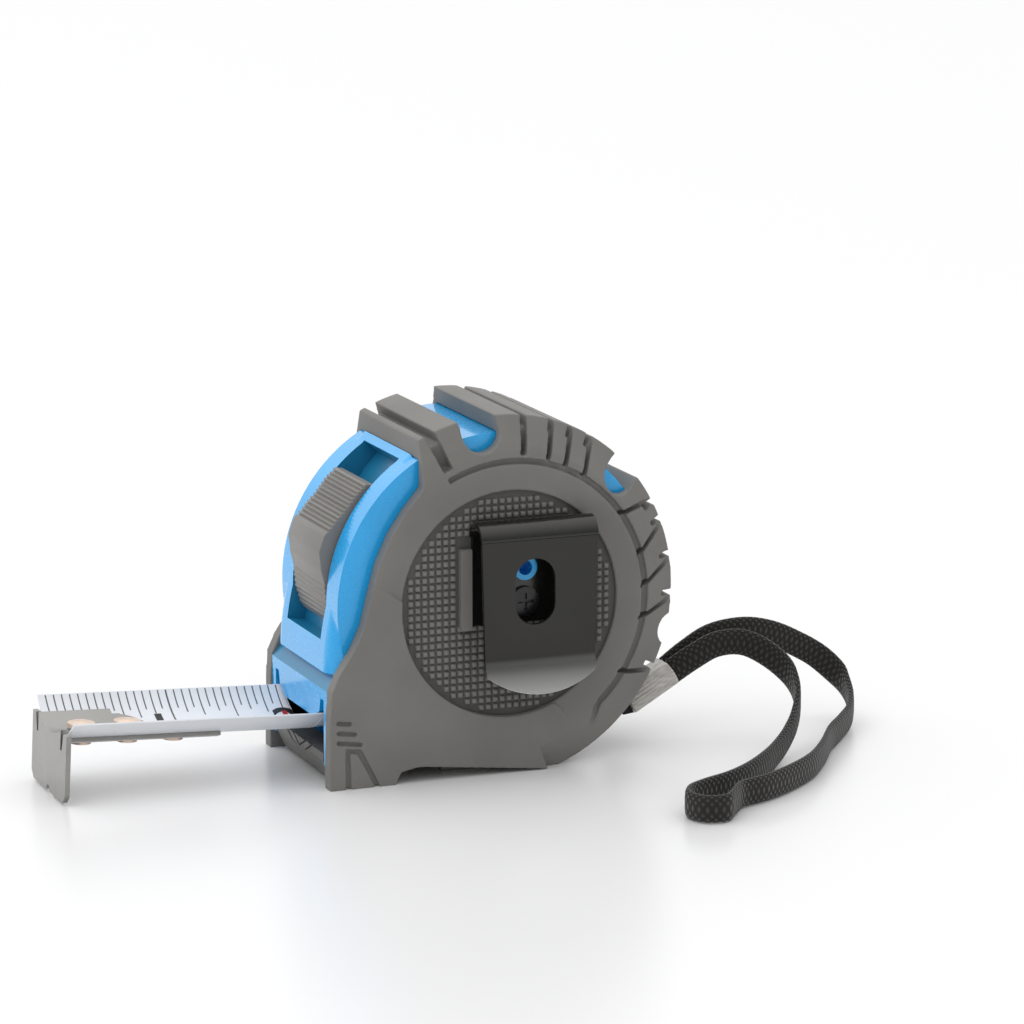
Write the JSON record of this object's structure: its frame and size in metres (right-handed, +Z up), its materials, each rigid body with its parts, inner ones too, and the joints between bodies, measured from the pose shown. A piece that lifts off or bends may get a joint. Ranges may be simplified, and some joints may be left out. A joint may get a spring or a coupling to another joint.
{
  "type": "tape measure",
  "caption": "Pocket tape measure with a rubber-jacketed case, sliding thumb lock, sprung belt clip, hooked graduated blade on a coupled reel, and a wrist strap.",
  "frame": {"origin": "on the standing plane, straight under the reel's axis", "axes": "+Z up; the blade leaves the mouth towards -X; the belt clip is on the -Y side"},
  "size_m": [0.1643, 0.0854, 0.0692],
  "materials": {
    "blue_shell": "glossy light blue, slightly metallic",
    "jacket_rubber": "matt warm grey",
    "disc_rubber": "matt, fine square bumps",
    "black_steel": "satin black",
    "steel": "plain steel",
    "reel_plastic": "moulded",
    "coated_blade": "nylon-coated spring steel, white-grey with black and red marks",
    "hook_steel": "satin nickel",
    "copper_rivet": "pale copper",
    "grey_plastic": "satin",
    "pad_rubber": "matt",
    "woven_band": "flat woven",
    "clear_sleeve": "milky, ribbed"
  },
  "bodies": {
    "case": {"case_left": "blue_shell", "case_right": "blue_shell", "rubber_jacket": "jacket_rubber", "grip_disc_left": "disc_rubber", "grip_disc_right": "disc_rubber", "clip_pad": "disc_rubber", "clip_base": "black_steel", "clip_screw": "black_steel", "case_screws": "black_steel", "spindle_post": "steel", "nose_bumper": "grey_plastic", "strap_pin": "steel", "strap_loop": "woven_band", "strap_sleeve": "clear_sleeve", "wrist_strap": "woven_band"},
    "reel": {"reel_drum": "reel_plastic", "reel_cover": "reel_plastic", "blade_coil": "coated_blade", "power_spring": "steel"},
    "blade": {"blade_strip": "coated_blade", "blade_lead": "coated_blade", "hook_backing_plate": "hook_steel", "hook_rivets": "copper_rivet"},
    "hook": {"end_hook": "hook_steel"},
    "lock": {"lock_button": "grey_plastic", "lock_slider": "blue_shell", "brake_pad": "pad_rubber"},
    "clip": {"clip_leaf": "black_steel"}
  },
  "joints": [
    {"name": "reel_spin", "type": "hinge", "parent": "case", "child": "reel", "pos_m": [0, 0, 0.033], "axis": [0, 1, 0], "range_deg": [-147.9, 63.6]},
    {"name": "blade_slide", "type": "slide", "parent": "case", "child": "blade", "axis": [0.9988, 0, -0.0489], "range_m": [-0.02, 0.0465], "deforming": ["blade_lead"]},
    {"name": "hook_float", "type": "slide", "parent": "blade", "child": "hook", "axis": [-0.9988, 0, 0.0489], "range_m": [0, 0.0009]},
    {"name": "lock_slide", "type": "hinge", "parent": "case", "child": "lock", "pos_m": [0.0245, 0, 0.0195], "axis": [0, 1, 0], "range_deg": [0, 4.6]},
    {"name": "clip_flex", "type": "hinge", "parent": "case", "child": "clip", "pos_m": [0.0038, -0.02435, 0.04645], "axis": [-1, 0, 0], "range_deg": [0, 10], "stiffness_Nm_per_rad": 1.2, "springref_deg": -2.86}
  ],
  "couplings": [
    {"joint": "blade_slide", "follows": "reel_spin", "m_per_rad": -0.018}
  ]
}
